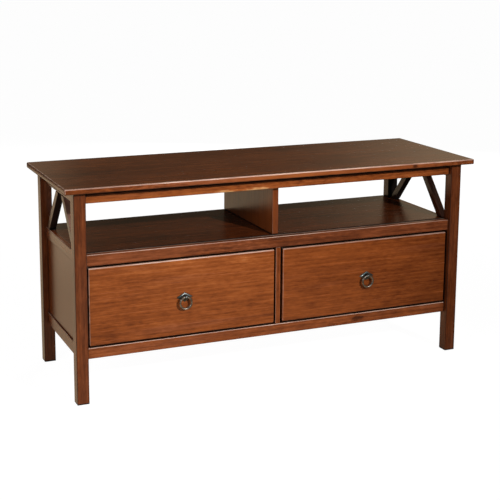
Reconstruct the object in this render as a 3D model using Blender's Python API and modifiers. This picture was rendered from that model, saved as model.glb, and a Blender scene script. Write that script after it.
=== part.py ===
"""Free-standing pine tv stand: open bays with sloping side braces over two inset drawers with ring pulls.

Metres. X runs along the width, Y from front (-Y) to rear (+Y), Z up.
The origin is on the floor under the middle of the top.
"""
import math

import bmesh
import bpy
from mathutils import Matrix, Vector

# Overall sizes
TOP_WIDTH = 1.200
TOP_DEPTH = 0.415
TOTAL_HEIGHT = 0.575
TOP_THICK = 0.015
SIDE_OVERHANG = 0.028
FRONT_OVERHANG = 0.023
REAR_OVERHANG = 0.008

# Frame: square legs with thinner rails flush with the inner faces of the legs
LEG_SIZE = 0.032
RAIL_THICK = 0.019
FRONT_TOP_RAIL_HEIGHT = 0.032
SIDE_TOP_RAIL_HEIGHT = 0.038
MID_RAIL_HEIGHT = 0.030
FRONT_MID_RAIL_THICK = 0.024
BOTTOM_RAIL_TOP = 0.146
FRONT_BOTTOM_RAIL_HEIGHT = 0.029
SIDE_BOTTOM_RAIL_HEIGHT = 0.033
STILE_WIDTH = 0.015

# Shelf and upper divider
SHELF_TOP = 0.395
SHELF_THICK = 0.015
SHELF_SEAT = 0.009
SHELF_FRONT_GAP = 0.004
DIVIDER_THICK = 0.018
DIVIDER_SETBACK = 0.003

# Panels that slide into grooves in the legs and rails
SIDE_PANEL_THICK = 0.009
SIDE_PANEL_SETBACK = 0.004
BACK_PANEL_THICK = 0.006
BACK_PANEL_SETBACK = 0.005
PANEL_GROOVE_DEPTH = 0.006
BOTTOM_PANEL_THICK = 0.005
BOTTOM_PANEL_RISE = 0.008

# Sloping braces of the open sides, measured along the rails
BRACE_WIDTH = 0.0250
BRACE_FOOT_SPREAD = 0.270
BRACE_HEAD_SPREAD = 0.054

# Drawers
DRAWER_FACE_RECESS = 0.010
DRAWER_SIDE_GAP = 0.0050
DRAWER_TOP_GAP = 0.0060
DRAWER_BOTTOM_GAP = 0.0055
DRAWER_SIDE_CLEAR = 0.0065
DRAWER_SIDE_THICK = 0.014
DRAWER_SIDE_HEIGHT = 0.170
DRAWER_SIDE_RISE = 0.008
DRAWER_LENGTH = 0.300
DRAWER_BACK_THICK = 0.012
DRAWER_BACK_INSET = 0.006
DRAWER_BACK_DROP = 0.012
DRAWER_BOTTOM_THICK = 0.004
DRAWER_BOTTOM_RISE = 0.010
DRAWER_GROOVE_DEPTH = 0.005

# Runners that carry the drawers by a slot in each drawer side
RUNNER_HEIGHT = 0.018
RUNNER_REACH = 0.013
RUNNER_RISE = 0.075

# Ring pulls
PLATE_WIDTH = 0.046
PLATE_HEIGHT = 0.026
PLATE_EDGE = 0.0008
PLATE_THICK = 0.0026
PLATE_BEVEL = 0.0030
RING_RADIUS = 0.0160
RING_WIRE = 0.0030
EYE_HALF_WIDTH = 0.0030
EYE_WALL = 0.0022
EYE_LIFT = 0.0020
EYE_EASE = 0.0008
EYE_SWING_CLEAR = 0.0006
COLLAR_RADIUS = 0.0048
COLLAR_THICK = 0.0020
STEM_RADIUS = 0.0025
STEM_BORE_CLEAR = 0.0003
STEM_END = 0.0030
NUT_RADIUS = 0.0046
NUT_THICK = 0.0040

# Clearances and edge treatment
SEAT_GAP = 0.0003
RUN_GAP = 0.0005
STOP_GAP = 0.0005
TOP_EASE = 0.0030
FRAME_EASE = 0.0016
PANEL_EASE = 0.0006
METAL_EASE = 0.0004
CUT_PAST = 0.004

# Finishes: colour, metallic value and roughness
STAINED_PINE = ((0.205, 0.065, 0.026), 0.0, 0.35)
BARE_PINE = ((0.620, 0.420, 0.230), 0.0, 0.60)
PLYWOOD = ((0.560, 0.400, 0.240), 0.0, 0.60)
ANTIQUE_METAL = ((0.150, 0.130, 0.105), 0.9, 0.40)
STEEL = ((0.420, 0.420, 0.410), 0.9, 0.35)

# Facets of the rounded pieces
EASE_STEPS = 2
ROUND_SIDES = 32
NUT_SIDES = 6
PLATE_SIDES = 4
RING_TURNS = 40
WIRE_SIDES = 12
EDGE_ANGLE = math.radians(30)
SMOOTH_ANGLE = math.radians(40)
ALL_SMOOTH = math.radians(180)
WELD_DISTANCE = 0.00005
AXIS_MARK = 0.03

# Planes that follow from the sizes above
LEG_OUTER_X = TOP_WIDTH / 2 - SIDE_OVERHANG
LEG_INNER_X = LEG_OUTER_X - LEG_SIZE
FRONT_FACE_Y = -TOP_DEPTH / 2 + FRONT_OVERHANG
FRONT_INNER_Y = FRONT_FACE_Y + LEG_SIZE
REAR_FACE_Y = TOP_DEPTH / 2 - REAR_OVERHANG
REAR_INNER_Y = REAR_FACE_Y - LEG_SIZE
REAR_RAIL_Y = REAR_FACE_Y - RAIL_THICK
FRAME_MID_Y = (FRONT_FACE_Y + REAR_FACE_Y) / 2
SIDE_RAIL_X = LEG_INNER_X + RAIL_THICK
TOP_UNDER_Z = TOTAL_HEIGHT - TOP_THICK
FRAME_TOP_Z = TOP_UNDER_Z - SEAT_GAP
SHELF_UNDER_Z = SHELF_TOP - SHELF_THICK
MID_RAIL_UNDER_Z = SHELF_TOP - MID_RAIL_HEIGHT
FRONT_BOTTOM_RAIL_UNDER_Z = BOTTOM_RAIL_TOP - FRONT_BOTTOM_RAIL_HEIGHT
FRONT_TOP_RAIL_UNDER_Z = FRAME_TOP_Z - FRONT_TOP_RAIL_HEIGHT
SIDE_TOP_RAIL_UNDER_Z = FRAME_TOP_Z - SIDE_TOP_RAIL_HEIGHT
BOTTOM_PANEL_LOW_Z = FRONT_BOTTOM_RAIL_UNDER_Z + BOTTOM_PANEL_RISE
BOTTOM_PANEL_HIGH_Z = BOTTOM_PANEL_LOW_Z + BOTTOM_PANEL_THICK
BOTTOM_GROOVE_Z = (BOTTOM_PANEL_LOW_Z - SEAT_GAP, BOTTOM_PANEL_HIGH_Z + SEAT_GAP)
PANEL_LOW_Z = BOTTOM_RAIL_TOP - PANEL_GROOVE_DEPTH
PANEL_HIGH_Z = MID_RAIL_UNDER_Z + PANEL_GROOVE_DEPTH
SIDE_PANEL_OUT_X = SIDE_RAIL_X - SIDE_PANEL_SETBACK
SIDE_PANEL_IN_X = SIDE_PANEL_OUT_X - SIDE_PANEL_THICK
BACK_PANEL_OUT_Y = REAR_FACE_Y - BACK_PANEL_SETBACK
BACK_PANEL_IN_Y = BACK_PANEL_OUT_Y - BACK_PANEL_THICK
STILE_HALF = STILE_WIDTH / 2
RUNNER_FRONT_Y = FRONT_INNER_Y + SEAT_GAP
DRAWER_FACE_Y = FRONT_FACE_Y + DRAWER_FACE_RECESS
DRAWER_INSIDE_Y = RUNNER_FRONT_Y - STOP_GAP
DRAWER_LOW_Z = BOTTOM_RAIL_TOP + DRAWER_BOTTOM_GAP
DRAWER_HIGH_Z = MID_RAIL_UNDER_Z - DRAWER_TOP_GAP
DRAWER_SIDE_LOW_Z = DRAWER_LOW_Z + DRAWER_SIDE_RISE
DRAWER_SIDE_HIGH_Z = DRAWER_SIDE_LOW_Z + DRAWER_SIDE_HEIGHT
DRAWER_BOX_FRONT_Y = DRAWER_INSIDE_Y + SEAT_GAP
DRAWER_BOX_REAR_Y = DRAWER_BOX_FRONT_Y + DRAWER_LENGTH
RUNNER_LOW_Z = DRAWER_SIDE_LOW_Z + RUNNER_RISE
RUNNER_HIGH_Z = RUNNER_LOW_Z + RUNNER_HEIGHT
STEM_BORE_RADIUS = STEM_RADIUS + STEM_BORE_CLEAR


def clear_scene():
    for obj in list(bpy.data.objects):
        bpy.data.objects.remove(obj, do_unlink=True)
    for group in list(bpy.data.collections):
        bpy.data.collections.remove(group)


def new_collection(name):
    group = bpy.data.collections.new(name)
    bpy.context.scene.collection.children.link(group)
    return group


clear_scene()
PARTS = new_collection("tv_stand")
CUTTERS = new_collection("cutters")
CUTTERS.hide_render = True


def finish(obj, look):
    """Gives an object a material of its own."""
    colour, metallic, roughness = look
    mat = bpy.data.materials.new(obj.name + "_finish")
    mat.use_nodes = True
    shader = mat.node_tree.nodes["Principled BSDF"]
    shader.inputs["Base Color"].default_value = (*colour, 1.0)
    shader.inputs["Metallic"].default_value = metallic
    shader.inputs["Roughness"].default_value = roughness
    mat.diffuse_color = (*colour, 1.0)
    obj.data.materials.clear()
    obj.data.materials.append(mat)


def mesh_object(name, bm, group):
    """Turns a bmesh into a linked object with its faces pointing out."""
    bmesh.ops.recalc_face_normals(bm, faces=bm.faces)
    mesh = bpy.data.meshes.new(name)
    bm.to_mesh(mesh)
    bm.free()
    obj = bpy.data.objects.new(name, mesh)
    group.objects.link(obj)
    return obj


def block_mesh(x_span, y_span, z_span):
    """A block between two limits on each axis, given in either order."""
    spans = (x_span, y_span, z_span)
    middle = Vector([(a + b) / 2 for a, b in spans])
    size = Vector([abs(b - a) for a, b in spans])
    bm = bmesh.new()
    bmesh.ops.create_cube(bm, size=1.0, matrix=Matrix.LocRotScale(middle, None, size))
    return bm


def bar_mesh(radius, low, high, axis, centre, sides=ROUND_SIDES):
    """A bar along X or Y through centre, from low to high on that axis, round or with a few flat sides."""
    turn = {"X": Matrix.Rotation(math.pi / 2, 4, "Y"), "Y": Matrix.Rotation(math.pi / 2, 4, "X")}[axis]
    along = {"X": Vector((1, 0, 0)), "Y": Vector((0, 1, 0))}[axis]
    place = Matrix.Translation(Vector(centre) + along * ((low + high) / 2)) @ turn
    bm = bmesh.new()
    bmesh.ops.create_cone(bm, cap_ends=True, segments=sides, radius1=radius, radius2=radius,
                          depth=high - low, matrix=place)
    return bm


def ease(obj, width, steps=EASE_STEPS):
    """Rounds the outer edges slightly."""
    mod = obj.modifiers.new("eased_edges", "BEVEL")
    mod.width = width
    mod.segments = steps
    mod.limit_method = "ANGLE"
    mod.angle_limit = EDGE_ANGLE


def add_cutter(obj, bm, label, operation="DIFFERENCE"):
    tool = mesh_object(obj.name + "_" + label, bm, CUTTERS)
    tool.hide_render = True
    tool.display_type = "WIRE"
    mod = obj.modifiers.new(label, "BOOLEAN")
    mod.operation = operation
    mod.solver = "EXACT"
    mod.object = tool


def cut_block(obj, label, x_span, y_span, z_span):
    add_cutter(obj, block_mesh(x_span, y_span, z_span), label)


def board(name, x_span, y_span, z_span, edge=FRAME_EASE, look=STAINED_PINE):
    """A straight piece of timber with eased edges."""
    obj = mesh_object(name, block_mesh(x_span, y_span, z_span), PARTS)
    ease(obj, edge)
    finish(obj, look)
    return obj


def outline_board(name, outline, thickness, middle_x):
    """A board cut to an outline of (y, z) points: a filled flat curve, turned upright across the width."""
    curve = bpy.data.curves.new(name, "CURVE")
    curve.dimensions = "2D"
    curve.fill_mode = "BOTH"
    curve.extrude = thickness / 2
    spline = curve.splines.new("POLY")
    spline.points.add(len(outline) - 1)
    for point, (y, z) in zip(spline.points, outline):
        point.co = (y, z, 0.0, 1.0)
    spline.use_cyclic_u = True
    obj = bpy.data.objects.new(name, curve)
    obj.location = (middle_x, 0, 0)
    obj.rotation_euler = (math.pi / 2, 0, math.pi / 2)
    PARTS.objects.link(obj)
    weld = obj.modifiers.new("weld", "WELD")
    weld.merge_threshold = WELD_DISTANCE
    ease(obj, FRAME_EASE)
    finish(obj, STAINED_PINE)
    return obj


def smooth(obj, angle):
    """Smooth shading that keeps real edges sharp."""
    obj.data.shade_smooth()
    obj.data.set_sharp_from_angle(angle=angle)


def joint_empty(name, spot):
    empty = bpy.data.objects.new(name, None)
    empty.empty_display_size = AXIS_MARK
    empty.location = Vector(spot)
    PARTS.objects.link(empty)
    return empty


def hang_on(obj, carrier):
    """Moves a piece's origin to its joint's empty and parents it there."""
    obj.data.transform(Matrix.Translation(-carrier.location))
    obj.location = carrier.location
    obj.parent = carrier
    obj.matrix_parent_inverse = Matrix.Translation(-carrier.location)


def build_top_and_legs():
    half_width = TOP_WIDTH / 2
    half_depth = TOP_DEPTH / 2
    board("top_panel", (-half_width, half_width), (-half_depth, half_depth), (TOP_UNDER_Z, TOTAL_HEIGHT),
          edge=TOP_EASE)
    panel_z = (PANEL_LOW_Z, PANEL_HIGH_Z)
    back_y = (BACK_PANEL_IN_Y - SEAT_GAP, BACK_PANEL_OUT_Y + SEAT_GAP)
    for side, sign in (("left", -1), ("right", 1)):
        leg_x = (sign * LEG_OUTER_X, sign * LEG_INNER_X)
        groove_x = (sign * (SIDE_PANEL_OUT_X + SEAT_GAP), sign * (SIDE_PANEL_IN_X - SEAT_GAP))
        back_x = (sign * (LEG_INNER_X + PANEL_GROOVE_DEPTH), sign * (LEG_INNER_X - CUT_PAST))
        front = board("front_" + side + "_leg", leg_x, (FRONT_FACE_Y, FRONT_INNER_Y), (0, FRAME_TOP_Z))
        cut_block(front, "panel_groove", groove_x,
                  (FRONT_INNER_Y - PANEL_GROOVE_DEPTH, FRONT_INNER_Y + CUT_PAST), panel_z)
        rear = board("rear_" + side + "_leg", leg_x, (REAR_INNER_Y, REAR_FACE_Y), (0, FRAME_TOP_Z))
        cut_block(rear, "panel_groove", groove_x,
                  (REAR_INNER_Y + PANEL_GROOVE_DEPTH, REAR_INNER_Y - CUT_PAST), panel_z)
        cut_block(rear, "back_groove", back_x, back_y, panel_z)


def build_cross_rails():
    """Rails along the width, between the legs: rebated for the shelf and grooved for the panels."""
    span_x = (-LEG_INNER_X + SEAT_GAP, LEG_INNER_X - SEAT_GAP)
    past_x = (-LEG_INNER_X - CUT_PAST, LEG_INNER_X + CUT_PAST)
    front_y = (FRONT_INNER_Y - RAIL_THICK, FRONT_INNER_Y)
    front_mid_y = (FRONT_INNER_Y - FRONT_MID_RAIL_THICK, FRONT_INNER_Y)
    rear_y = (REAR_RAIL_Y, REAR_FACE_Y)
    top_z = (FRONT_TOP_RAIL_UNDER_Z, FRAME_TOP_Z)
    mid_z = (MID_RAIL_UNDER_Z, SHELF_TOP)
    bottom_z = (FRONT_BOTTOM_RAIL_UNDER_Z, BOTTOM_RAIL_TOP)
    rebate_z = (SHELF_UNDER_Z - SEAT_GAP, SHELF_TOP + CUT_PAST)
    groove_y = (BACK_PANEL_IN_Y - SEAT_GAP, BACK_PANEL_OUT_Y + SEAT_GAP)

    board("front_top_rail", span_x, front_y, top_z)
    front_mid = board("front_mid_rail", span_x, front_mid_y, mid_z)
    cut_block(front_mid, "shelf_rebate", past_x, (FRONT_INNER_Y - SHELF_SEAT, FRONT_INNER_Y + CUT_PAST),
              rebate_z)
    front_bottom = board("front_bottom_rail", span_x, front_y, bottom_z)
    cut_block(front_bottom, "bottom_groove", past_x,
              (FRONT_INNER_Y - PANEL_GROOVE_DEPTH, FRONT_INNER_Y + CUT_PAST), BOTTOM_GROOVE_Z)

    board("rear_top_rail", span_x, rear_y, top_z)
    rear_mid = board("rear_mid_rail", span_x, rear_y, mid_z)
    cut_block(rear_mid, "shelf_rebate", past_x, (REAR_RAIL_Y - CUT_PAST, REAR_RAIL_Y + SHELF_SEAT), rebate_z)
    cut_block(rear_mid, "back_groove", past_x, groove_y, (MID_RAIL_UNDER_Z - CUT_PAST, PANEL_HIGH_Z))
    rear_bottom = board("rear_bottom_rail", span_x, rear_y, bottom_z)
    cut_block(rear_bottom, "back_groove", past_x, groove_y, (PANEL_LOW_Z, BOTTOM_RAIL_TOP + CUT_PAST))
    cut_block(rear_bottom, "bottom_groove", past_x,
              (REAR_RAIL_Y - CUT_PAST, REAR_RAIL_Y + PANEL_GROOVE_DEPTH), BOTTOM_GROOVE_Z)


def build_side(side, sign):
    """Side rails, the sloping braces of the open bay and the panel below them."""
    rail_x = (sign * SIDE_RAIL_X, sign * LEG_INNER_X)
    rebate_x = (sign * (LEG_INNER_X + SHELF_SEAT), sign * (LEG_INNER_X - CUT_PAST))
    groove_x = (sign * (SIDE_PANEL_OUT_X + SEAT_GAP), sign * (SIDE_PANEL_IN_X - SEAT_GAP))
    bottom_groove_x = (sign * (LEG_INNER_X + PANEL_GROOVE_DEPTH), sign * (LEG_INNER_X - CUT_PAST))
    span_y = (FRONT_INNER_Y + SEAT_GAP, REAR_INNER_Y - SEAT_GAP)
    past_y = (FRONT_INNER_Y - CUT_PAST, REAR_INNER_Y + CUT_PAST)

    board(side + "_top_rail", rail_x, span_y, (SIDE_TOP_RAIL_UNDER_Z, FRAME_TOP_Z))
    mid = board(side + "_mid_rail", rail_x, span_y, (MID_RAIL_UNDER_Z, SHELF_TOP))
    cut_block(mid, "shelf_rebate", rebate_x, past_y, (SHELF_UNDER_Z - SEAT_GAP, SHELF_TOP + CUT_PAST))
    cut_block(mid, "panel_groove", groove_x, past_y, (MID_RAIL_UNDER_Z - CUT_PAST, PANEL_HIGH_Z))
    bottom = board(side + "_bottom_rail", rail_x, span_y,
                   (BOTTOM_RAIL_TOP - SIDE_BOTTOM_RAIL_HEIGHT, BOTTOM_RAIL_TOP))
    cut_block(bottom, "panel_groove", groove_x, past_y, (PANEL_LOW_Z, BOTTOM_RAIL_TOP + CUT_PAST))
    cut_block(bottom, "bottom_groove", bottom_groove_x, past_y, BOTTOM_GROOVE_Z)
    board(side + "_side_panel", (sign * SIDE_PANEL_OUT_X, sign * SIDE_PANEL_IN_X),
          (FRONT_INNER_Y - PANEL_GROOVE_DEPTH + SEAT_GAP, REAR_INNER_Y + PANEL_GROOVE_DEPTH - SEAT_GAP),
          (PANEL_LOW_Z + SEAT_GAP, PANEL_HIGH_Z - SEAT_GAP), edge=PANEL_EASE)

    low_z = SHELF_TOP + SEAT_GAP
    high_z = SIDE_TOP_RAIL_UNDER_Z - SEAT_GAP
    half = BRACE_WIDTH / 2
    for end, way in (("front", -1), ("rear", 1)):
        foot = FRAME_MID_Y + way * BRACE_FOOT_SPREAD / 2
        head = FRAME_MID_Y + way * BRACE_HEAD_SPREAD / 2
        outline = [(foot - half, low_z), (foot + half, low_z), (head + half, high_z), (head - half, high_z)]
        outline_board(side + "_" + end + "_brace", outline, RAIL_THICK, sum(rail_x) / 2)


def notched_board(name, half_width, y_span, z_span, edge):
    """A level board that fills the frame and is notched round the four legs."""
    obj = board(name, (-half_width, half_width), y_span, z_span, edge=edge)
    front_notch_y = (y_span[0] - CUT_PAST, FRONT_INNER_Y + SEAT_GAP)
    rear_notch_y = (REAR_INNER_Y - SEAT_GAP, y_span[1] + CUT_PAST)
    notch_z = (z_span[0] - CUT_PAST, z_span[1] + CUT_PAST)
    for side, sign in (("left", -1), ("right", 1)):
        notch_x = (sign * (LEG_INNER_X - SEAT_GAP), sign * (half_width + CUT_PAST))
        for end, notch_y in (("front", front_notch_y), ("rear", rear_notch_y)):
            cut_block(obj, end + "_" + side + "_notch", notch_x, notch_y, notch_z)


def build_shelf_and_dividers():
    """The shelf lies in rebates of the mid rails, and the bottom panel in grooves of the bottom rails."""
    wide_x = LEG_INNER_X + SHELF_SEAT - SEAT_GAP
    front_y = FRONT_INNER_Y - SHELF_SEAT + SHELF_FRONT_GAP
    rear_y = REAR_RAIL_Y + SHELF_SEAT - SEAT_GAP
    notched_board("shelf", wide_x, (front_y, rear_y), (SHELF_UNDER_Z, SHELF_TOP), FRAME_EASE)

    divider_x = (-DIVIDER_THICK / 2, DIVIDER_THICK / 2)
    divider = board("upper_divider", divider_x, (FRONT_INNER_Y + DIVIDER_SETBACK, REAR_FACE_Y),
                    (SHELF_TOP + SEAT_GAP, FRAME_TOP_Z))
    cut_block(divider, "rail_notch", (-DIVIDER_THICK, DIVIDER_THICK),
              (REAR_RAIL_Y - SEAT_GAP, REAR_FACE_Y + CUT_PAST),
              (FRONT_TOP_RAIL_UNDER_Z - SEAT_GAP, FRAME_TOP_Z + CUT_PAST))

    stile_x = (-STILE_HALF, STILE_HALF)
    board("center_stile", stile_x, (FRONT_INNER_Y - RAIL_THICK, FRONT_INNER_Y),
          (BOTTOM_RAIL_TOP + SEAT_GAP, MID_RAIL_UNDER_Z - SEAT_GAP))
    board("center_partition", stile_x, (FRONT_INNER_Y + SEAT_GAP, REAR_RAIL_Y - SEAT_GAP),
          (BOTTOM_PANEL_HIGH_Z + SEAT_GAP, SHELF_UNDER_Z - SEAT_GAP), edge=PANEL_EASE, look=BARE_PINE)
    panel_x = LEG_INNER_X + PANEL_GROOVE_DEPTH - SEAT_GAP
    board("back_panel", (-panel_x, panel_x), (BACK_PANEL_IN_Y, BACK_PANEL_OUT_Y),
          (PANEL_LOW_Z + SEAT_GAP, PANEL_HIGH_Z - SEAT_GAP), edge=PANEL_EASE)
    bottom_y = (FRONT_INNER_Y - PANEL_GROOVE_DEPTH + SEAT_GAP, REAR_RAIL_Y + PANEL_GROOVE_DEPTH - SEAT_GAP)
    notched_board("bottom_panel", panel_x, bottom_y, (BOTTOM_PANEL_LOW_Z, BOTTOM_PANEL_HIGH_Z), PANEL_EASE)


def build_runners(side, sign):
    """Timber strips that stand into the slots of the drawer sides."""
    outer_x = (sign * (SIDE_PANEL_IN_X - SEAT_GAP), sign * (LEG_INNER_X - RUNNER_REACH))
    inner_x = (sign * (STILE_HALF + SEAT_GAP), sign * (STILE_HALF + RUNNER_REACH))
    span_y = (RUNNER_FRONT_Y, REAR_INNER_Y - SEAT_GAP)
    span_z = (RUNNER_LOW_Z, RUNNER_HIGH_Z)
    board(side + "_outer_runner", outer_x, span_y, span_z, edge=PANEL_EASE, look=BARE_PINE)
    board(side + "_inner_runner", inner_x, span_y, span_z, edge=PANEL_EASE, look=BARE_PINE)


def build_drawer(side, sign):
    """One drawer: a thick front, slotted sides, a back and a bottom let into grooves."""
    name = side + "_drawer"
    box_x = (sign * (STILE_HALF + DRAWER_SIDE_CLEAR), sign * (LEG_INNER_X - DRAWER_SIDE_CLEAR))
    low_x, high_x = sorted(box_x)
    front_x = (sign * (STILE_HALF + DRAWER_SIDE_GAP), sign * (LEG_INNER_X - DRAWER_SIDE_GAP))
    mid_x = sum(front_x) / 2
    mid_z = (DRAWER_LOW_Z + DRAWER_HIGH_Z) / 2
    bottom_z = DRAWER_SIDE_LOW_Z + DRAWER_BOTTOM_RISE
    bottom_top_z = bottom_z + DRAWER_BOTTOM_THICK
    groove_z = (bottom_z - SEAT_GAP, bottom_top_z + SEAT_GAP)
    groove_front_y = DRAWER_INSIDE_Y - DRAWER_GROOVE_DEPTH
    past_y = (DRAWER_BOX_FRONT_Y - CUT_PAST, DRAWER_BOX_REAR_Y + CUT_PAST)
    slot_z = (RUNNER_LOW_Z - RUN_GAP, RUNNER_HIGH_Z + RUN_GAP)
    slot_depth = RUNNER_REACH - DRAWER_SIDE_CLEAR + RUN_GAP
    in_low_x = low_x + DRAWER_SIDE_THICK
    in_high_x = high_x - DRAWER_SIDE_THICK
    panel_low_x = in_low_x - DRAWER_GROOVE_DEPTH + SEAT_GAP
    panel_high_x = in_high_x + DRAWER_GROOVE_DEPTH - SEAT_GAP
    carrier = joint_empty(name + "_slide_axis", (mid_x, DRAWER_FACE_Y, mid_z))

    front = board(name + "_front", front_x, (DRAWER_FACE_Y, DRAWER_INSIDE_Y), (DRAWER_LOW_Z, DRAWER_HIGH_Z),
                  edge=TOP_EASE)
    cut_block(front, "bottom_groove", (panel_low_x - SEAT_GAP, panel_high_x + SEAT_GAP),
              (groove_front_y, DRAWER_INSIDE_Y + CUT_PAST), groove_z)
    pull_bore = bar_mesh(STEM_BORE_RADIUS, DRAWER_FACE_Y - CUT_PAST, DRAWER_INSIDE_Y + CUT_PAST, "Y",
                         (mid_x, 0, mid_z + EYE_LIFT))
    add_cutter(front, pull_bore, "pull_bore")
    pieces = [front]

    for hand, out_x, way in (("left", low_x, 1), ("right", high_x, -1)):
        in_x = out_x + way * DRAWER_SIDE_THICK
        wall = board(name + "_" + hand + "_side", (out_x, in_x), (DRAWER_BOX_FRONT_Y, DRAWER_BOX_REAR_Y),
                     (DRAWER_SIDE_LOW_Z, DRAWER_SIDE_HIGH_Z), edge=PANEL_EASE, look=BARE_PINE)
        cut_block(wall, "runner_slot", (out_x - way * CUT_PAST, out_x + way * slot_depth), past_y, slot_z)
        cut_block(wall, "bottom_groove", (in_x + way * CUT_PAST, in_x - way * DRAWER_GROOVE_DEPTH), past_y,
                  groove_z)
        pieces.append(wall)

    back_y = DRAWER_BOX_REAR_Y - DRAWER_BACK_INSET
    back = board(name + "_back", (in_low_x + SEAT_GAP, in_high_x - SEAT_GAP),
                 (back_y - DRAWER_BACK_THICK, back_y),
                 (bottom_top_z + SEAT_GAP, DRAWER_SIDE_HIGH_Z - DRAWER_BACK_DROP),
                 edge=PANEL_EASE, look=BARE_PINE)
    bottom = board(name + "_bottom", (panel_low_x, panel_high_x), (groove_front_y + SEAT_GAP, back_y),
                   (bottom_z, bottom_top_z), edge=PANEL_EASE, look=PLYWOOD)
    pieces.extend([back, bottom])
    pieces.extend(build_pull(side, mid_x, mid_z, carrier))
    for piece in pieces:
        hang_on(piece, carrier)


def build_pull(side, mid_x, mid_z, carrier):
    """A diamond plate, an eye bolt with its nut through the drawer front, and a ring in the eye."""
    name = side + "_pull"
    eye_hole = RING_WIRE + EYE_SWING_CLEAR
    eye_outer = eye_hole + EYE_WALL
    eye_z = mid_z + EYE_LIFT
    plate_back_y = DRAWER_FACE_Y - SEAT_GAP
    plate_face_y = plate_back_y - PLATE_THICK
    collar_back_y = plate_face_y - SEAT_GAP
    collar_face_y = collar_back_y - COLLAR_THICK
    eye_y = collar_face_y - eye_outer + EYE_WALL / 2
    nut_y = DRAWER_INSIDE_Y + SEAT_GAP
    stem_end_y = nut_y + NUT_THICK + STEM_END
    on_stem = (mid_x, 0, eye_z)
    on_hinge = (mid_x, eye_y, eye_z)

    plate = mesh_object(name + "_backplate", plate_mesh(mid_x, mid_z, plate_back_y), PARTS)
    ease(plate, METAL_EASE, steps=1)
    plate_bore = bar_mesh(STEM_BORE_RADIUS, plate_face_y - CUT_PAST, plate_back_y + CUT_PAST, "Y", on_stem)
    add_cutter(plate, plate_bore, "stem_bore")
    finish(plate, ANTIQUE_METAL)

    head = bar_mesh(eye_outer, -EYE_HALF_WIDTH, EYE_HALF_WIDTH, "X", on_hinge)
    eye = mesh_object(name + "_eye_bolt", head, PARTS)
    smooth(eye, SMOOTH_ANGLE)
    ease(eye, EYE_EASE)
    collar = bar_mesh(COLLAR_RADIUS, collar_face_y, collar_back_y, "Y", on_stem)
    add_cutter(eye, collar, "collar", "UNION")
    stem = bar_mesh(STEM_RADIUS, collar_back_y - COLLAR_THICK / 2, stem_end_y, "Y", on_stem)
    add_cutter(eye, stem, "stem", "UNION")
    hole_half = EYE_HALF_WIDTH + CUT_PAST
    ring_hole = bar_mesh(eye_hole, -hole_half, hole_half, "X", on_hinge)
    add_cutter(eye, ring_hole, "ring_hole")
    finish(eye, ANTIQUE_METAL)

    hexagon = bar_mesh(NUT_RADIUS, nut_y, nut_y + NUT_THICK, "Y", on_stem, NUT_SIDES)
    nut = mesh_object(name + "_nut", hexagon, PARTS)
    ease(nut, METAL_EASE, steps=1)
    nut_bore = bar_mesh(STEM_BORE_RADIUS, nut_y - CUT_PAST, nut_y + NUT_THICK + CUT_PAST, "Y", on_stem)
    add_cutter(nut, nut_bore, "stem_bore")
    finish(nut, STEEL)

    swing = joint_empty(name + "_swing_axis", on_hinge)
    swing.parent = carrier
    swing.matrix_parent_inverse = Matrix.Translation(-carrier.location)
    build_ring(name + "_ring", swing)
    return [plate, eye, nut]


def plate_mesh(mid_x, mid_z, back_y):
    """A diamond with a thin rim, a sloping border and a flat middle."""
    stretch = Matrix.Diagonal((PLATE_WIDTH / 2, PLATE_HEIGHT / 2, 1.0, 1.0))
    turn = Matrix.Rotation(math.pi / 2, 4, "X")
    place = Matrix.Translation((mid_x, back_y - PLATE_EDGE / 2, mid_z)) @ turn @ stretch
    bm = bmesh.new()
    bmesh.ops.create_cone(bm, cap_ends=True, segments=PLATE_SIDES, radius1=1.0, radius2=1.0,
                          depth=PLATE_EDGE, matrix=place)
    bmesh.ops.recalc_face_normals(bm, faces=bm.faces)
    front = min(bm.faces, key=lambda face: face.calc_center_median().y)
    bmesh.ops.inset_region(bm, faces=[front], thickness=PLATE_BEVEL, depth=PLATE_THICK - PLATE_EDGE,
                           use_even_offset=True)
    return bm


def build_ring(name, swing):
    """A round wire ring that hangs from its swing axis, facing the front."""
    bpy.ops.mesh.primitive_torus_add(major_radius=RING_RADIUS, minor_radius=RING_WIRE,
                                     major_segments=RING_TURNS, minor_segments=WIRE_SIDES,
                                     location=(0, 0, 0), rotation=(0, 0, 0))
    ring = bpy.context.object
    ring.name = name
    ring.data.name = name
    for group in list(ring.users_collection):
        group.objects.unlink(ring)
    PARTS.objects.link(ring)
    upright = Matrix.Rotation(math.pi / 2, 4, "X")
    hanging = Matrix.Translation(swing.location - Vector((0, 0, RING_RADIUS)))
    ring.data.transform(hanging @ upright)
    smooth(ring, ALL_SMOOTH)
    finish(ring, ANTIQUE_METAL)
    hang_on(ring, swing)


build_top_and_legs()
build_cross_rails()
build_shelf_and_dividers()
for which, way in (("left", -1), ("right", 1)):
    build_side(which, way)
    build_runners(which, way)
    build_drawer(which, way)
bpy.context.view_layer.update()
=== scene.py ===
"""Looks of the tv stand: stained pine, bare timber and aged metal, with a pale studio and the camera."""
import math

import bpy
from mathutils import Matrix, Vector


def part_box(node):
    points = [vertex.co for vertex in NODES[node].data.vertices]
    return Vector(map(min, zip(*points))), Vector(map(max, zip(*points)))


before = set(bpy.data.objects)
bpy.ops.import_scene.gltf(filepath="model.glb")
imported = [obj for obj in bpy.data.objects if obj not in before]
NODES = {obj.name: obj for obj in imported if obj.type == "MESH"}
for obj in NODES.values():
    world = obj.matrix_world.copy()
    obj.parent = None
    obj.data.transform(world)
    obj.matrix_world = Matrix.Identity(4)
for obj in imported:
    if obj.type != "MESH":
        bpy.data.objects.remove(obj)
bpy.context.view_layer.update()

SIDES = ("left", "right")
ENDS = ("front", "rear")
HEIGHTS = ("top", "mid", "bottom")

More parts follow.
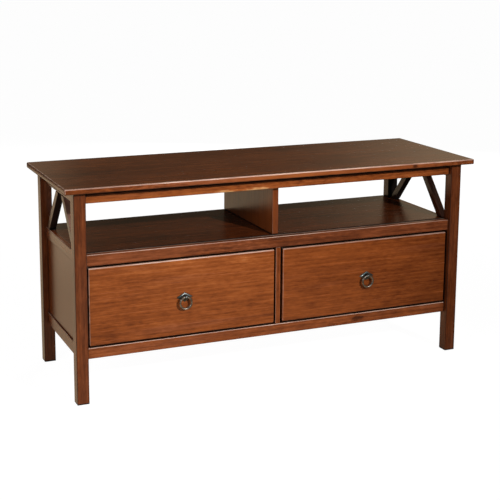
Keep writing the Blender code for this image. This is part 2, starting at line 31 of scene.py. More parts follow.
# Camera: pixels of a 500 by 500 picture, metres and degrees
PICTURE_PX = 500
FOCAL_PX = 1159.0
AXIS_PX = (250.0, 170.0)
SENSOR_MM = 36.0
CAMERA_SPOT = (-1.299, -2.950, 1.151)
CAMERA_YAW = 23.58
CAMERA_PITCH = 10.60
CAMERA_ROLL = 0.40

# Light: watts, metres, degrees; a lamp turns to the right of the front and rises from level
KEY_AIM = (-0.30, -0.18, 0.60)
KEY_TURN = 22.0
KEY_RISE = 22.0
KEY_RANGE = 4.2
KEY_RADIUS = 0.06
KEY_CONE = 37.0
KEY_SOFTNESS = 1.0
KEY_POWER = 640.0
FILL_AIM = (0.0, -0.2, 0.30)
FILL_TURN = -58.0
FILL_RISE = 23.0
FILL_RANGE = 3.5
FILL_SIZE = (1.5, 1.2)
FILL_POWER = 28.0
REAR_AIM = (0.0, 0.2, 0.30)
REAR_TURN = 150.0
REAR_RISE = 8.0
REAR_RANGE = 3.5
REAR_SIZE = (1.5, 1.2)
REAR_POWER = 40.0
WORLD_LIGHT = 0.06
WHITE = (1.0, 1.0, 1.0, 1.0)
BLACK = (0.0, 0.0, 0.0, 1.0)

# Floor, and the dim studio that the lacquer reflects: metres, and strengths of light
FLOOR_HALF = 40.0
FLOOR_DROP = 0.0004
FLOOR_COLOUR = (0.80, 0.80, 0.79, 1.0)
FLOOR_SEEN_COLOUR = (0.12, 0.12, 0.12, 1.0)
FLOOR_GLOW = 0.975
STUDIO_TINT = (1.0, 0.77, 0.50, 1.0)
STUDIO_HALF = 5.0
STUDIO_REAR = 3.0
STUDIO_HEIGHT = 4.0
CARPET_LIFT = 0.001
CARPET_LEVEL = 0.75
CARPET_DIM = 0.15
CARPET_TURN_X = (0.1, 0.9)
CARPET_REAR = 0.30
CARPET_TURN_Y = (0.8, 1.6)
WALL_DIM = 0.09
WALL_BRIGHT = 0.59
WALL_TURN_X = (0.9, 2.9)
WALL_TURN_Y = (0.5, 2.0)
GLOW_LEVEL = 0.25
GLOW_RISE_X = (-1.0, -0.6)
GLOW_FALL_X = (0.0, 0.38)

# Shading of the frame's facets: metres and radians
WELD_DISTANCE = 0.000002
SHARP_ANGLE = math.radians(50)

# Grain: directions, the tree's heart beside and below a board's middle, and the tree's length, in metres
ALONG_X = (1, 0, 0)
ALONG_Y = (0, 1, 0)
ALONG_Z = (0, 0, 1)
STAIN_HEART = (0.02, 0.07)
PINE_HEART = (0.015, 0.05)
VENEER_HEART = (0.0, 0.4)
TREE_LENGTH = 89

# Growth rings: metres between bands, and how they stretch and bend along the board
WAVE_LENGTH = 2 * math.pi / 20  # one band of the wave texture at a scale of 1
STAIN_RING_SPACING = 0.011
PINE_RING_SPACING = 0.006
RING_STRETCH = (0.06, 1.0, 1.0)
RING_BEND = 7.0
RING_DETAIL = 3.0
RING_DETAIL_SCALE = 0.35

# Figure of timber: waves per metre along, across and through the grain
STREAKS = {"scale": (5.0, 110.0, 110.0), "detail": 5.0, "roughness": 0.6}
FIBRES = {"scale": (14.0, 900.0, 900.0), "detail": 2.0}
FLECKS = {"scale": (55.0, 300.0, 300.0), "detail": 2.0}
MOTTLE = {"scale": (22.0, 55.0, 55.0), "detail": 4.0}
BLOTCHES = {"scale": (3.0, 9.0, 9.0), "detail": 2.0}
HUE_DRIFT = {"scale": (3.0, 40.0, 40.0), "detail": 3.0}
RUB = {"scale": (9.0, 60.0, 60.0), "detail": 3.0}
PINE_STREAKS = {"scale": (3.0, 160.0, 160.0), "detail": 5.0, "roughness": 0.6}
PINE_FIBRES = {"scale": (20.0, 1200.0, 1200.0), "detail": 2.0}
PINE_BLOTCHES = {"scale": (4.0, 14.0, 14.0), "detail": 3.0}
VENEER_WAVES = {"scale": (2.0, 22.0, 22.0), "detail": 4.0, "roughness": 0.55, "distortion": 1.2}
VENEER_FIBRES = {"scale": (25.0, 1000.0, 1000.0), "detail": 2.0}

# Figure of metal and the ragged rims of marks: waves per metre along X, Y and Z
PATINA = {"scale": (160.0, 160.0, 160.0), "detail": 4.0, "roughness": 0.6}
GRIT = {"scale": (1400.0, 1400.0, 1400.0), "detail": 2.0}
TURNING = {"scale": (300.0, 2500.0, 300.0), "detail": 2.0}
MARK_RIM = {"scale": (60.0, 60.0, 200.0), "detail": 4.0}

# Shares of each figure in the depth of the stain, the pine and the veneer
STREAK_SHARE = 0.55
FIBRE_SHARE = 0.32
RING_SHARE = 0.12
FLECK_SHARE = 0.36
MOTTLE_SHARE = 0.40
BLOTCH_SHARE = 0.40
HUE_SHARE = 2.5
PINE_STREAK_SHARE = 0.40
PINE_RING_SHARE = 0.50
PINE_BLOTCH_SHARE = 0.45
VENEER_WAVE_SHARE = 1.2
VENEER_FIBRE_SHARE = 0.25
MIDDLE_DEPTH = 0.5

# Stain, in linear colour, from the most to the least
ORANGE_STAIN = [(0.00, (0.040, 0.008, 0.002, 1.0)), (0.25, (0.125, 0.026, 0.0045, 1.0)),
                (0.50, (0.255, 0.061, 0.0115, 1.0)), (0.80, (0.400, 0.112, 0.026, 1.0)),
                (1.00, (0.720, 0.400, 0.160, 1.0))]
MAUVE_STAIN = [(0.00, (0.040, 0.0095, 0.0035, 1.0)), (0.25, (0.120, 0.029, 0.009, 1.0)),
               (0.50, (0.235, 0.062, 0.020, 1.0)), (0.80, (0.350, 0.110, 0.046, 1.0))]
# The rear legs' darker stain is partly painted shade, for the shade they stand in from the front.
LEG_LEVELS = {"front": 0.28, "rear": 0.21}

# Lacquer: gloss, relief as strength and metres, and the dull finish in gaps, on shaded edges and in the dark
# patches
STAIN_SPECULAR = 0.21
STAIN_ROUGHNESS = 0.26
ROUGHNESS_SWING = 0.15
DULL_ROUGHNESS = 0.90
DULL_SPAN = (0.1, 0.8)
LACQUER_BUMP = (0.05, 0.0002)
FIBRE_RELIEF = 0.4

# Eased edges: drawn pale on the side facing up and to the front, as rubbed wear and painted highlight, and
# darkened on the other side as painted shade
ARRIS_COLOUR = (0.690, 0.460, 0.360, 1.0)
ARRIS_SPAN = (0.93, 0.99)
WORN_AND_LIT_SIDE = (-0.3, -0.6, 0.74)
WORN_AND_LIT_SPAN = (0.45, 0.90)
RUB_SPAN = (0.35, 0.62)
RUB_LEAST = 0.45
SHADED_EDGE_SPAN = (-0.1, 0.5)
EDGE_SHADE = 0.92

# Painted shade in gaps and inner corners: metres, and how much of the colour is left there
CREVICE_REACH = 0.012
CREVICE_SAMPLES = 6
CREVICE_SPAN = (0.30, 0.75)
CREVICE_DARK = 0.03

# Marks and painted light: metres right of the stand's middle and above the board's lower edge, half sizes,
# and lightening
MARK_SPAN = (0.4, 1.1)
MARK_RAGGED = 1.6
# A painted highlight along the top's front edge, and a small dark mark.
TOP_MARKS = [((0.08, 0.007), (0.65, 0.004, 0.020), 0.30),
             ((0.403, 0.007), (0.010, 0.020, 0.007), -0.40)]
# Two pale streaks at the apron's lower edge, a darker right end as painted falloff of light, and a darker
# upper edge as painted shadow of the top's overhang.
APRON_MARKS = [((-0.16, 0.0023), (0.050, 0.020, 0.006), 0.35),
               ((-0.06, 0.0013), (0.060, 0.020, 0.007), 0.40),
               ((0.55, 0.0123), (0.60, 0.10, 0.10), -0.12),
               ((0.0, 0.0323), (2.0, 0.10, 0.020), -0.15)]
DIVIDER_MARKS = [((0.0, 0.0747), (0.10, 0.004, 0.20), -0.14)]
# The rail darker towards the right, as painted falloff of light, and darker in the middle.
MID_RAIL_MARKS = [((0.30, 0.015), (0.60, 0.10, 0.20), -0.13),
                  ((0.0, 0.015), (0.20, 0.10, 0.20), -0.08)]
BOTTOM_RAIL_MARKS = [((0.25, 0.0145), (0.022, 0.020, 0.010), -0.30)]
# A lighter top and darker bottom, as painted light from above, and three small lighter patches near the top
# edge.
LEFT_DRAWER_MARKS = [((-0.27, 0.2085), (0.40, 0.10, 0.08), 0.10),
                     ((-0.20, -0.0015), (0.45, 0.10, 0.07), -0.09),
                     ((-0.11, 0.1885), (0.035, 0.10, 0.012), 0.16),
                     ((-0.29, 0.1985), (0.060, 0.10, 0.010), 0.12),
                     ((-0.39, 0.1855), (0.050, 0.10, 0.010), 0.10)]
# A lighter top left and a darker right end, as painted falloff of light.
RIGHT_DRAWER_MARKS = [((0.05, 0.1885), (0.20, 0.10, 0.12), 0.06),
                      ((0.50, 0.0985), (0.25, 0.10, 0.20), -0.07)]

# Darkened patches, most of them painted shadow: places and half sizes as for marks, where WIDE reaches past
# the whole stand
WIDE = 5.0
DARK_PATCH_RAGGED = 0.3
# The lowest few millimetres of every leg, blackened.
FOOT_DARKENING = [((0.0, 0.0), (WIDE, WIDE, 0.0045))]
# Painted shadow along the shelf's front seam with the front mid rail.
SHELF_SEAM_SHADOW = [((0.0, 0.015), (WIDE, 0.013, 0.040))]
# Painted shadow of the top's overhang on the apron's upper edge.
APRON_OVERHANG_SHADOW = [((0.0, 0.0323), (WIDE, 0.020, 0.017))]
# Painted shade on the rear right leg's front face inside the bay.
REAR_RIGHT_LEG_SHADE = [((0.556, 0.46), (0.10, 0.004, 0.20))]

# Bare timber and metal: linear colour, roughness from least to most, relief as strength and metres
NOISE_SPAN = (0.3, 0.7)
BARE_PINE = [(0.1, (0.470, 0.275, 0.125, 1.0)), (0.5, (0.620, 0.420, 0.230, 1.0)),
             (0.9, (0.720, 0.540, 0.340, 1.0))]
PINE_ROUGHNESS = (0.52, 0.68)
PINE_BUMP = (0.3, 0.0003)
VENEER = [(0.1, (0.400, 0.250, 0.125, 1.0)), (0.5, (0.560, 0.400, 0.240, 1.0)),
          (0.9, (0.660, 0.500, 0.330, 1.0))]
VENEER_ROUGHNESS = (0.50, 0.66)
VENEER_BUMP = (0.25, 0.0002)
PLATE_METAL = ((0.125, 0.130, 0.125, 1.0), (0.026, 0.037, 0.038, 1.0))
RING_METAL = ((0.250, 0.210, 0.175, 1.0), (0.090, 0.078, 0.068, 1.0))
PATINA_SPAN = (0.40, 0.62)
SHEEN_SPAN = (0.35, 0.65)
METAL_SHARE = 0.95
METAL_ROUGHNESS = (0.26, 0.46)
METAL_BUMP = (0.2, 0.0001)
STEEL = [(0.3, (0.330, 0.330, 0.320, 1.0)), (0.7, (0.470, 0.470, 0.460, 1.0))]
STEEL_ROUGHNESS = (0.28, 0.42)
STEEL_BUMP = (0.15, 0.0001)


class Shader:
    """The nodes of one material or world, with short calls that add and join them."""

    def __init__(self, owner, surface):
        owner.use_nodes = True
        self.owner = owner
        self.tree = owner.node_tree
        self.surface = self.tree.nodes[surface]

    def add(self, kind, **settings):
        node = self.tree.nodes.new("ShaderNode" + kind)
        for key, value in settings.items():
            setattr(node, key, value)
        return node

    def feed(self, socket, value):
        """Links an output to a socket, or sets a plain value there."""
        if isinstance(value, bpy.types.NodeSocket):
            self.tree.links.new(value, socket)
        else:
            socket.default_value = value

    def finish(self, **values):
        """Feeds sockets of the surface, named with _ for each space."""
        for name, value in values.items():
            self.feed(self.surface.inputs[name.replace("_", " ")], value)

    def place(self):
        """Coordinates of the object, in metres."""
        return self.add("TexCoord").outputs["Object"]

    def split(self, vector):
        node = self.add("SeparateXYZ")
        self.feed(node.inputs[0], vector)
        return node.outputs

    def math(self, operation, a, b):
        node = self.add("Math", operation=operation)
        self.feed(node.inputs[0], a)
        self.feed(node.inputs[1], b)
        return node.outputs[0]

    def times(self, a, b):
        return self.math("MULTIPLY", a, b)

    def plus(self, a, b):
        return self.math("ADD", a, b)

    def less(self, a, b):
        return self.math("SUBTRACT", a, b)

    def most(self, a, b):
        return self.math("MAXIMUM", a, b)

    def vector_math(self, operation, *vectors):
        node = self.add("VectorMath", operation=operation)
        for socket, vector in zip(node.inputs, vectors):
            self.feed(socket, vector)
        return node.outputs

    def scaled(self, vector, scale):
        return self.vector_math("MULTIPLY", vector, scale)["Vector"]

    def noise(self, vector, scale, detail, roughness=0.5, distortion=0.0):
        node = self.add("TexNoise")
        self.feed(node.inputs["Vector"], self.scaled(vector, scale))
        node.inputs["Scale"].default_value = 1.0
        node.inputs["Detail"].default_value = detail
        node.inputs["Roughness"].default_value = roughness
        node.inputs["Distortion"].default_value = distortion
        return node.outputs["Fac"]

    def swing(self, value, amount):
        """A value about 0.5 turned into one about 0, times an amount."""
        return self.times(self.less(value, 0.5), amount)

    def remap(self, value, low, high, to_low, to_high):
        """A smooth step from one level to another while the value goes from low to high."""
        node = self.add("MapRange", interpolation_type="SMOOTHSTEP")
        self.feed(node.inputs["Value"], value)
        node.inputs["From Min"].default_value = low
        node.inputs["From Max"].default_value = high
        node.inputs["To Min"].default_value = to_low
        node.inputs["To Max"].default_value = to_high
        return node.outputs["Result"]

    def ramp(self, value, stops):
        node = self.add("ValToRGB")
        points = node.color_ramp.elements
        while len(points) < len(stops):
            points.new(1.0)
        for point, (place, colour) in zip(points, stops):
            point.position = place
            point.color = colour
        self.feed(node.inputs["Fac"], value)
        return node.outputs["Color"]

    def mix(self, factor, low, high, blend="MIX"):
        node = self.add("Mix", data_type="RGBA", blend_type=blend)
        sockets = {socket.identifier: socket for socket in (*node.inputs, *node.outputs)}
        self.feed(sockets["Factor_Float"], factor)
        self.feed(sockets["A_Color"], low)
        self.feed(sockets["B_Color"], high)
        return sockets["Result_Color"]

    def grey(self, level):
        """A colour of three equal channels."""
        node = self.add("CombineColor")
        for channel in node.inputs:
            self.feed(channel, level)
        return node.outputs[0]

    def bump(self, height, strength, distance):
        node = self.add("Bump")
        node.inputs["Strength"].default_value = strength
        node.inputs["Distance"].default_value = distance
        self.feed(node.inputs["Height"], height)
        self.finish(Normal=node.outputs["Normal"])


def new_material(name):
    """The nodes of a new material."""
    return Shader(bpy.data.materials.new(name), "Principled BSDF")


def timber_turn(grain):
    """The rotation that lays a board's grain along X."""
    return Vector(grain).rotation_difference(Vector(ALONG_X))


def timber_place(shader, node_name, grain, heart):
    """Coordinates along the grain, with the tree's heart on X and each board at its own place in the tree."""
    turn = timber_turn(grain)
    low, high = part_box(node_name)
    middle = turn @ ((low + high) / 2)
    along = sum(map(ord, node_name)) % TREE_LENGTH
    mapping = shader.add("Mapping")
    mapping.inputs["Rotation"].default_value = turn.to_euler()
    mapping.inputs["Location"].default_value = Vector((along, *heart)) - middle
    shader.feed(mapping.inputs["Vector"], shader.place())
    return mapping.outputs["Vector"]


def growth_rings(shader, place, spacing):
    """Bands round the grain axis, bent slowly along the board."""
    node = shader.add("TexWave", wave_type="RINGS", rings_direction="X", wave_profile="SAW")
    shader.feed(node.inputs["Vector"], shader.scaled(place, RING_STRETCH))
    node.inputs["Scale"].default_value = WAVE_LENGTH / spacing
    node.inputs["Distortion"].default_value = RING_BEND
    node.inputs["Detail"].default_value = RING_DETAIL
    node.inputs["Detail Scale"].default_value = RING_DETAIL_SCALE
    return node.outputs["Fac"]


def arris_mask(shader, grain):
    """One on a board's eased edges and nought on its flats, and how far each point faces the side drawn pale
    as wear and painted highlight.
    """
    normal = shader.add("NewGeometry").outputs["True Normal"]
    turned = shader.add("Mapping", vector_type="VECTOR")
    turned.inputs["Rotation"].default_value = timber_turn(grain).to_euler()
    shader.feed(turned.inputs["Vector"], normal)
    size = shader.split(shader.vector_math("ABSOLUTE", turned.outputs["Vector"])["Vector"])
    largest = shader.most(shader.most(size["X"], size["Y"]), size["Z"])
    facing = shader.vector_math("DOT_PRODUCT", normal, Vector(WORN_AND_LIT_SIDE).normalized())["Value"]
    return shader.remap(largest, *ARRIS_SPAN, 1.0, 0.0), facing


def painted_crevice_shade(shader):
    """Painted shade: dark in gaps and inner corners, where other surfaces close round a point."""
    node = shader.add("AmbientOcclusion", samples=CREVICE_SAMPLES)
    node.inputs["Distance"].default_value = CREVICE_REACH
    return shader.remap(node.outputs["AO"], *CREVICE_SPAN, CREVICE_DARK, 1.0)


def mark_mask(shader, node_name, spot, half, ragged):
    """One inside an uneven oval about a spot on a board's front, and nought outside it."""
    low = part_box(node_name)[0]
    centre = (spot[0], low.y, low.z + spot[1])
    place = shader.place()
    offset = shader.vector_math("SUBTRACT", place, centre)["Vector"]
    distance = shader.vector_math("LENGTH", shader.scaled(offset, [1 / size for size in half]))["Value"]
    uneven = shader.swing(shader.noise(place, **MARK_RIM), ragged)
    return shader.remap(shader.plus(distance, uneven), *MARK_SPAN, 1.0, 0.0)


def stain_colour(shader, place, depth, red):
    """The colour of the stain at a depth, between orange and mauve."""
    share = shader.plus(shader.swing(shader.noise(place, **HUE_DRIFT), HUE_SHARE), red)
    return shader.mix(shader.remap(share, 0.0, 1.0, 0.0, 1.0), shader.ramp(depth, ORANGE_STAIN),
                      shader.ramp(depth, MAUVE_STAIN))


def edge_wear(shader, place, grain, wear, soil):
    """How far each point of an eased edge is drawn pale, as rubbed wear and painted highlight, and how far it
    is darkened, as painted shade on the other side and as grime.
    """
    arris, facing = arris_mask(shader, grain)
    rub = shader.remap(shader.noise(place, **RUB), *RUB_SPAN, RUB_LEAST, 1.0)
    paler = shader.times(rub, shader.remap(facing, *WORN_AND_LIT_SPAN, 0.0, wear))
    edge_shade_and_grime = shader.times(arris, shader.remap(facing, *SHADED_EDGE_SPAN, EDGE_SHADE, soil))
    return shader.times(paler, arris), edge_shade_and_grime


def painted_shade_and_grime(shader, node_name, edge_shade_and_grime, dirt):
    """One where a board is not darkened, and less in gaps and on edges facing away, as painted shade, on
    grimy edges and in the dark patches.
    """
    kept_after_shade_and_grime = shader.times(painted_crevice_shade(shader), shader.less(1.0, edge_shade_and_grime))
    for spot, half in dirt:
        outside_patch = shader.less(1.0, mark_mask(shader, node_name, spot, half, DARK_PATCH_RAGGED))
        kept_after_shade_and_grime = shader.times(kept_after_shade_and_grime, shader.most(outside_patch, CREVICE_DARK))
    return kept_after_shade_and_grime


def stained_pine(node_name, grain, level, red=0.0, figure=1.0, wear=1.0, soil=0.0, marks=(), dirt=()):
    """Pine with a dark stain under satin lacquer.

    Level is how light the stain is, red moves it from orange to mauve, and figure is the strength of the
    grain. Wear and highlight is how far the edges on the upper front side are drawn pale, as rubbed wear and
    painted highlight, and soil is how grimy they are; the edges on the other side are darkened as painted
    shade. Marks lighten or darken the stain in patches, some of them as painted light, and dark patches
    blacken it, most of them as painted shadow.
    """
    shader = new_material(node_name + "_stain")
    place = timber_place(shader, node_name, grain, STAIN_HEART)
    streaks = shader.noise(place, **STREAKS)
    fibres = shader.noise(place, **FIBRES)
    parts = [(streaks, STREAK_SHARE), (fibres, FIBRE_SHARE),
             (growth_rings(shader, place, STAIN_RING_SPACING), RING_SHARE),
             (shader.noise(place, **FLECKS), FLECK_SHARE),
             (shader.noise(place, **MOTTLE), MOTTLE_SHARE),
             (shader.noise(place, **BLOTCHES), BLOTCH_SHARE)]
    depth = level
    for value, share in parts:
        depth = shader.plus(depth, shader.swing(value, share * figure))
    for spot, half, shift in marks:
        depth = shader.plus(depth, shader.times(mark_mask(shader, node_name, spot, half, MARK_RAGGED), shift))
    paler, edge_shade_and_grime = edge_wear(shader, place, grain, wear, soil)
    kept_after_shade_and_grime = painted_shade_and_grime(shader, node_name, edge_shade_and_grime, dirt)
    colour = stain_colour(shader, place, depth, red)
    # Painted shade in gaps and on edges facing away, grime, and the dark patches, multiplied into the stain.
    colour = shader.mix(1.0, colour, shader.grey(kept_after_shade_and_grime), blend="MULTIPLY")
    gloss = shader.plus(shader.swing(streaks, ROUGHNESS_SWING * figure), STAIN_ROUGHNESS)
    dull = shader.remap(kept_after_shade_and_grime, *DULL_SPAN, DULL_ROUGHNESS - STAIN_ROUGHNESS, 0.0)
    # Edges on the upper front side are drawn pale as rubbed wear and painted highlight.
    shader.finish(Base_Color=shader.mix(paler, colour, ARRIS_COLOUR), Roughness=shader.plus(gloss, dull),
                  Specular_IOR_Level=STAIN_SPECULAR)
    strength, distance = LACQUER_BUMP
    shader.bump(shader.plus(shader.times(fibres, FIBRE_RELIEF), streaks), strength * figure, distance)
    return shader.owner


def bare_pine(node_name, grain):
    """Sanded pine without a finish."""
    shader = new_material(node_name + "_pine")
    place = timber_place(shader, node_name, grain, PINE_HEART)
    streaks = shader.noise(place, **PINE_STREAKS)
    parts = [(streaks, PINE_STREAK_SHARE),
             (growth_rings(shader, place, PINE_RING_SPACING), PINE_RING_SHARE),
             (shader.noise(place, **PINE_BLOTCHES), PINE_BLOTCH_SHARE)]
    depth = MIDDLE_DEPTH
    for value, share in parts:
        depth = shader.plus(depth, shader.swing(value, share))
    shader.finish(Base_Color=shader.ramp(depth, BARE_PINE),
                  Roughness=shader.remap(streaks, *NOISE_SPAN, *PINE_ROUGHNESS))
    shader.bump(shader.plus(shader.noise(place, **PINE_FIBRES), streaks), *PINE_BUMP)
    return shader.owner


def plywood(node_name, grain):
    """Rotary-cut veneer with wide wandering figure."""
    shader = new_material(node_name + "_veneer")
    place = timber_place(shader, node_name, grain, VENEER_HEART)
    waves = shader.noise(place, **VENEER_WAVES)
    fibres = shader.noise(place, **VENEER_FIBRES)
    depth = shader.plus(shader.swing(waves, VENEER_WAVE_SHARE), MIDDLE_DEPTH)
    depth = shader.plus(depth, shader.swing(fibres, VENEER_FIBRE_SHARE))
    shader.finish(Base_Color=shader.ramp(depth, VENEER),
                  Roughness=shader.remap(waves, *NOISE_SPAN, *VENEER_ROUGHNESS))
    shader.bump(fibres, *VENEER_BUMP)
    return shader.owner


def antique_metal(node_name, paler, dull):
    """Dark pewter-coloured metal with a worn sheen and a dull patina in patches."""
    shader = new_material(node_name + "_metal")
    place = shader.place()
    patches = shader.noise(place, **PATINA)
    patina = shader.remap(patches, *PATINA_SPAN, 0.0, 1.0)
    shader.finish(Base_Color=shader.mix(patina, paler, dull), Metallic=METAL_SHARE,
                  Roughness=shader.remap(patches, *SHEEN_SPAN, *METAL_ROUGHNESS))
    shader.bump(shader.noise(place, **GRIT), *METAL_BUMP)
    return shader.owner


def plain_steel(node_name):
    """Nut steel with fine turning marks."""
    shader = new_material(node_name + "_steel")
    turning = shader.noise(shader.place(), **TURNING)
    shader.finish(Base_Color=shader.ramp(turning, STEEL), Metallic=1.0,
                  Roughness=shader.remap(turning, *NOISE_SPAN, *STEEL_ROUGHNESS))
    shader.bump(turning, *STEEL_BUMP)
    return shader.owner


def soft_shading_group():
    """A modifier that joins the split facets of a frame node and shades its eased edges smooth."""
    group = bpy.data.node_groups.new("soft_shading", "GeometryNodeTree")
    group.interface.new_socket("Geometry", in_out="INPUT", socket_type="NodeSocketGeometry")
    group.interface.new_socket("Geometry", in_out="OUTPUT", socket_type="NodeSocketGeometry")
    add = group.nodes.new
    start = add("NodeGroupInput")
    outside_patch = add("GeometryNodeRemoveAttribute")
    outside_patch.inputs["Name"].default_value = "custom_normal"
    weld = add("GeometryNodeMergeByDistance")
    weld.inputs["Distance"].default_value = WELD_DISTANCE
    faces = add("GeometryNodeSetShadeSmooth")
    faces.domain = "FACE"
    edges = add("GeometryNodeSetShadeSmooth")
    edges.domain = "EDGE"
    angle = add("GeometryNodeInputMeshEdgeAngle")
    gentle = add("FunctionNodeCompare")
    gentle.operation = "LESS_THAN"
    gentle.inputs["B"].default_value = SHARP_ANGLE
    end = add("NodeGroupOutput")
    chain = [start, outside_patch, weld, faces, edges, end]
    for one, other in zip(chain, chain[1:]):
        group.links.new(one.outputs[0], other.inputs[0])
    group.links.new(angle.outputs["Unsigned Angle"], gentle.inputs["A"])
    group.links.new(gentle.outputs["Result"], edges.inputs["Shade Smooth"])
    return group


def soften_frame():
    """Smooth shading on every node, with flat faces kept flat."""
    group = soft_shading_group()
    for obj in NODES.values():
        obj.modifiers.new("soft_shading", "NODES").node_group = group
        obj.modifiers.new("even_faces", "WEIGHTED_NORMAL").keep_sharp = True


def dress(node_name, material):
    """Gives a frame node one material all over."""
    NODES[node_name].material_slots[0].material = material


def stain(node_name, grain, **look):
    """Dresses a board in stained pine."""
    dress(node_name, stained_pine(node_name, grain, **look))


def brace_grain(node_name):
    """The direction of a sloping brace, from foot to head."""
    low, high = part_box(node_name)
    lean = -1 if "rear" in node_name else 1
    return Vector((0, lean * (high.y - low.y), high.z - low.z)).normalized()


def dress_front():
    """Boards seen from the front: the depth of each is given one by one, as no two boards take stain alike.
    """
    stain("top_panel", ALONG_X, level=0.30, red=0.4, figure=0.8, marks=TOP_MARKS)
    # The shelf's dark stain is partly painted shade, for the shade of the top over it.
    stain("shelf", ALONG_X, level=0.14, red=0.4, figure=0.8, wear=0.3, dirt=SHELF_SEAM_SHADOW)
    stain("front_top_rail", ALONG_X, level=0.58, marks=APRON_MARKS, dirt=APRON_OVERHANG_SHADOW)
    stain("front_mid_rail", ALONG_X, level=0.43, red=0.8, wear=0.7, marks=MID_RAIL_MARKS)
    stain("front_bottom_rail", ALONG_X, level=0.42, red=0.4, marks=BOTTOM_RAIL_MARKS)
    stain("left_drawer_front", ALONG_X, level=0.50, marks=LEFT_DRAWER_MARKS)
    stain("right_drawer_front", ALONG_X, level=0.42, figure=0.75, wear=0.5, marks=RIGHT_DRAWER_MARKS)
    stain("upper_divider", ALONG_Z, level=0.46, red=0.3, figure=0.4, wear=0.4, marks=DIVIDER_MARKS)
    stain("center_stile", ALONG_Z, level=0.38, red=0.5)


def dress_rear():
    """The back, and the bottom below the drawers."""
    stain("bottom_panel", ALONG_X, level=0.20, red=0.4)
    stain("back_panel", ALONG_X, level=0.32, red=0.4)
    for height in HEIGHTS:
        stain("rear_" + height + "_rail", ALONG_X, level=0.32, red=0.5)


def dress_sides():
    """Side frames with their legs, rails, panels and braces."""
    for side in SIDES:
        for height in HEIGHTS:
            stain(side + "_" + height + "_rail", ALONG_Y, level=0.32, red=0.5, figure=0.4)
        stain(side + "_side_panel", ALONG_Z, level=0.30, red=0.4, figure=0.2)
        for end in ENDS:
            leg = end + "_" + side + "_leg"
            dirt = FOOT_DARKENING + (REAR_RIGHT_LEG_SHADE if leg == "rear_right_leg" else [])
            stain(leg, ALONG_Z, level=LEG_LEVELS[end], red=0.7, figure=0.8, wear=0.0, soil=0.6, dirt=dirt)
            brace = side + "_" + end + "_brace"
            # The braces' dark stain is partly painted shade, for the shade of the top over the bays.
            stain(brace, brace_grain(brace), level=0.15, red=0.4, figure=0.7, wear=0.2)


def dress_inside():
    """Bare timber where the drawers hide it."""
    dress("center_partition", bare_pine("center_partition", ALONG_Y))
    for side in SIDES:
        for strip in ("_outer_runner", "_inner_runner", "_drawer_left_side", "_drawer_right_side"):
            dress(side + strip, bare_pine(side + strip, ALONG_Y))
        dress(side + "_drawer_back", bare_pine(side + "_drawer_back", ALONG_X))
        dress(side + "_drawer_bottom", plywood(side + "_drawer_bottom", ALONG_X))


def dress_pulls():
    """Aged metal on the ring pulls, and plain steel on their nuts."""
    for side in SIDES:
        for piece, tones in (("backplate", PLATE_METAL), ("eye_bolt", PLATE_METAL), ("ring", RING_METAL)):
            name = side + "_pull_" + piece
            dress(name, antique_metal(name, *tones))
        dress(side + "_pull_nut", plain_steel(side + "_pull_nut"))


def sheet_object(name, corners, material):
    """A flat four-cornered stage piece."""
    mesh = bpy.data.meshes.new(name)
    mesh.from_pydata(corners, [], [(0, 1, 2, 3)])
    mesh.materials.append(material)
    obj = bpy.data.objects.new(name, mesh)
    bpy.context.scene.collection.objects.link(obj)
    return obj


def seen_directly(shader):
    """One for rays from the camera, from gloss and through glass, and nought for the rest."""
    path = shader.add("LightPath").outputs
    return shader.most(shader.most(path["Is Camera Ray"], path["Is Glossy Ray"]), path["Is Transmission Ray"])


def build_floor():
    """A pale floor that shows as white and still takes the object's shadow."""
    shader = new_material("pale_floor")
    seen = seen_directly(shader)
    shader.finish(Base_Color=shader.mix(seen, FLOOR_COLOUR, FLOOR_SEEN_COLOUR), Roughness=1.0,
                  Specular_IOR_Level=0.0, Emission_Color=WHITE,
                  Emission_Strength=shader.times(seen, FLOOR_GLOW))
    far = FLOOR_HALF
    plan = [(-far, -far), (far, -far), (far, far), (-far, far)]
    sheet_object("floor", [(x, y, -FLOOR_DROP) for x, y in plan], shader.owner)


def studio_piece(name, corners, strength_of):
    """A part of the studio that is seen only in the lacquer's reflections."""
    shader = new_material(name)
    shader.finish(Base_Color=BLACK, Specular_IOR_Level=0.0, Emission_Color=STUDIO_TINT,
                  Emission_Strength=strength_of(shader))
    piece = sheet_object(name, corners, shader.owner)
    piece.visible_camera = False
    piece.visible_diffuse = False
    piece.visible_transmission = False
    piece.visible_shadow = False


def wall_level(shader):
    """Dim walls that brighten towards the rear right, with a glow at the middle of the rear wall."""
    place = shader.split(shader.place())
    to_right = shader.remap(place["X"], *WALL_TURN_X, 0.0, 1.0)
    to_rear = shader.remap(place["Y"], *WALL_TURN_Y, 0.0, 1.0)
    bright = shader.times(shader.times(to_right, to_right), WALL_BRIGHT - WALL_DIM)
    glow = shader.times(shader.remap(place["X"], *GLOW_RISE_X, 0.0, GLOW_LEVEL),
                        shader.remap(place["X"], *GLOW_FALL_X, 1.0, 0.0))
    return shader.plus(shader.times(shader.plus(bright, glow), to_rear), WALL_DIM)


def carpet_level(shader):
    """A carpet that brightens towards the rear and darkens towards the right."""
    place = shader.split(shader.place())
    to_right = shader.remap(place["X"], *CARPET_TURN_X, CARPET_LEVEL, CARPET_DIM)
    return shader.plus(to_right, shader.remap(place["Y"], *CARPET_TURN_Y, 0.0, CARPET_REAR))


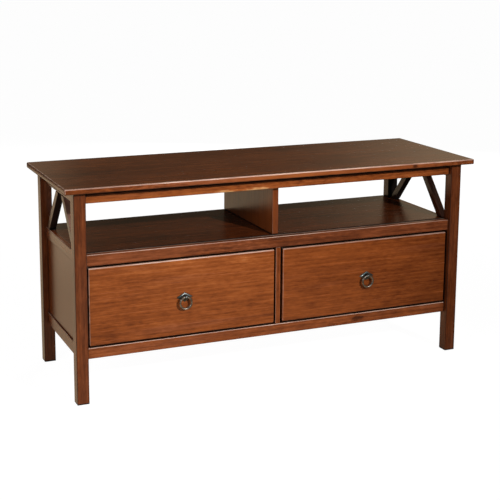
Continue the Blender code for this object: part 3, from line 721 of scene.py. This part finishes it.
def build_studio():
    """Four walls, a ceiling and a carpet round the object."""
    far = STUDIO_HALF
    high = STUDIO_HEIGHT
    plan = [(-far, -far), (far, -far), (far, STUDIO_REAR), (-far, STUDIO_REAR)]
    names = ("front_wall", "right_wall", "rear_wall", "left_wall")
    for name, (x0, y0), (x1, y1) in zip(names, plan, plan[1:] + plan[:1]):
        studio_piece(name, [(x0, y0, 0), (x1, y1, 0), (x1, y1, high), (x0, y0, high)], wall_level)
    studio_piece("ceiling", [(x, y, high) for x, y in plan], lambda shader: WALL_DIM)
    studio_piece("carpet", [(x, y, CARPET_LIFT) for x, y in plan], carpet_level)


def build_world():
    """White where it is seen, and a faint light everywhere else."""
    world = bpy.data.worlds.new("studio")
    bpy.context.scene.world = world
    shader = Shader(world, "Background")
    shader.finish(Color=WHITE, Strength=shader.most(seen_directly(shader), WORLD_LIGHT))


def lamp(name, kind, aim, turn, rise, distance, power):
    """A lamp that faces a point, from so many degrees to the right of the front and above level."""
    data = bpy.data.lights.new(name, kind)
    data.energy = power
    obj = bpy.data.objects.new(name, data)
    turn = math.radians(turn)
    rise = math.radians(rise)
    away = Vector((math.sin(turn) * math.cos(rise), -math.cos(turn) * math.cos(rise), math.sin(rise)))
    obj.location = Vector(aim) + away * distance
    obj.rotation_euler = away.to_track_quat("Z", "Y").to_euler()
    bpy.context.scene.collection.objects.link(obj)
    return obj


def soft_lamp(name, aim, turn, rise, distance, power, size):
    """A lamp with an oblong face."""
    obj = lamp(name, "AREA", aim, turn, rise, distance, power)
    obj.data.shape = "RECTANGLE"
    obj.data.size, obj.data.size_y = size
    return obj


def build_lamps():
    """A hard key from the front right, a soft fill from the left, and one behind without a highlight."""
    key = lamp("key", "SPOT", KEY_AIM, KEY_TURN, KEY_RISE, KEY_RANGE, KEY_POWER)
    key.data.shadow_soft_size = KEY_RADIUS
    key.data.spot_size = math.radians(KEY_CONE)
    key.data.spot_blend = KEY_SOFTNESS
    soft_lamp("fill", FILL_AIM, FILL_TURN, FILL_RISE, FILL_RANGE, FILL_POWER, FILL_SIZE)
    rear = soft_lamp("rear", REAR_AIM, REAR_TURN, REAR_RISE, REAR_RANGE, REAR_POWER, REAR_SIZE)
    rear.visible_glossy = False


def build_camera():
    """A camera with its lens shifted, because the photograph's upright lines run nearly parallel."""
    yaw = math.radians(CAMERA_YAW)
    pitch = math.radians(CAMERA_PITCH)
    forward = Vector((math.sin(yaw) * math.cos(pitch), math.cos(yaw) * math.cos(pitch), -math.sin(pitch)))
    right = Vector((math.cos(yaw), -math.sin(yaw), 0))
    level = Matrix((right, right.cross(forward), -forward)).transposed()
    roll = Matrix.Rotation(math.radians(CAMERA_ROLL), 3, "Z")
    lens = bpy.data.cameras.new("camera")
    lens.sensor_width = SENSOR_MM
    lens.lens = FOCAL_PX / PICTURE_PX * SENSOR_MM
    lens.shift_x = 0.5 - AXIS_PX[0] / PICTURE_PX
    lens.shift_y = AXIS_PX[1] / PICTURE_PX - 0.5
    camera = bpy.data.objects.new("camera", lens)
    camera.matrix_world = Matrix.Translation(CAMERA_SPOT) @ (level @ roll).to_4x4()
    bpy.context.scene.collection.objects.link(camera)
    bpy.context.scene.camera = camera


dress_front()
dress_rear()
dress_sides()
dress_inside()
dress_pulls()
soften_frame()
build_floor()
build_studio()
build_world()
build_lamps()
build_camera()
bpy.context.scene.view_settings.view_transform = "Standard"
